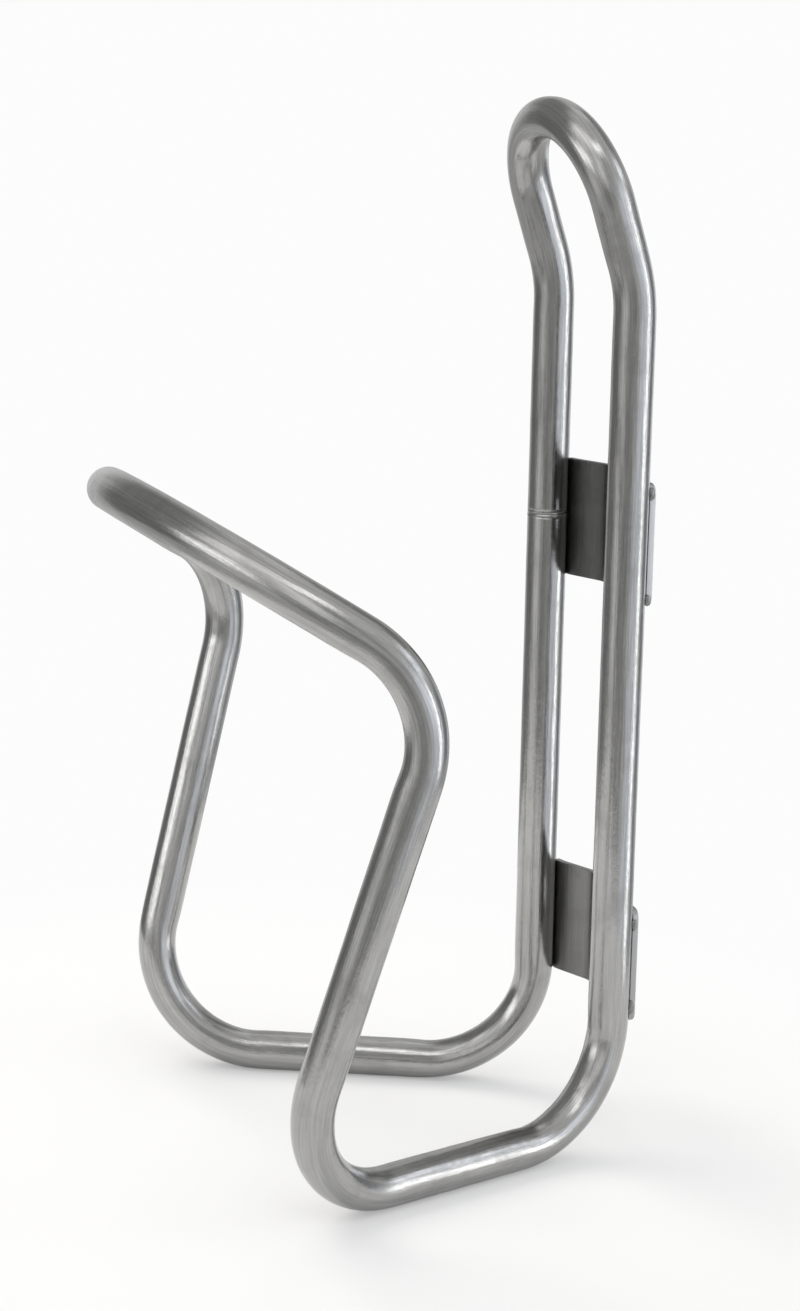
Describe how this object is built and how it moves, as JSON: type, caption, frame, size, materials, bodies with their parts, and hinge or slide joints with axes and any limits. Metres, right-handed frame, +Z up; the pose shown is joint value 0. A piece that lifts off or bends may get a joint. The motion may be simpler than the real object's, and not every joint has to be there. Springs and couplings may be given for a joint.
{
  "type": "bottle cage",
  "caption": "Bent-tube water bottle cage with a raked retaining ring, a top loop between twin uprights and bolt-on rear tabs.",
  "frame": {"origin": "midway between the two bolt holes, on the rear faces of the mounting tabs", "axes": "+Z up along the uprights; +Y rearwards into the bicycle's frame, so the bottle stands towards -Y; +X towards the upright without the tube joint"},
  "size_m": [0.089, 0.0839, 0.1602],
  "materials": {
    "tube_steel": "tumbled satin, drawn lengthwise along the tube",
    "tab_steel": "dull satin sheet",
    "weld_steel": "slightly heat-tinted, as welded"
  },
  "bodies": {
    "root": {"frame_tube": "tube_steel", "tube_joint_bead": "weld_steel", "upper_tab": "tab_steel", "lower_tab": "tab_steel", "upper_tab_welds": "weld_steel", "lower_tab_welds": "weld_steel"}
  },
  "joints": []
}
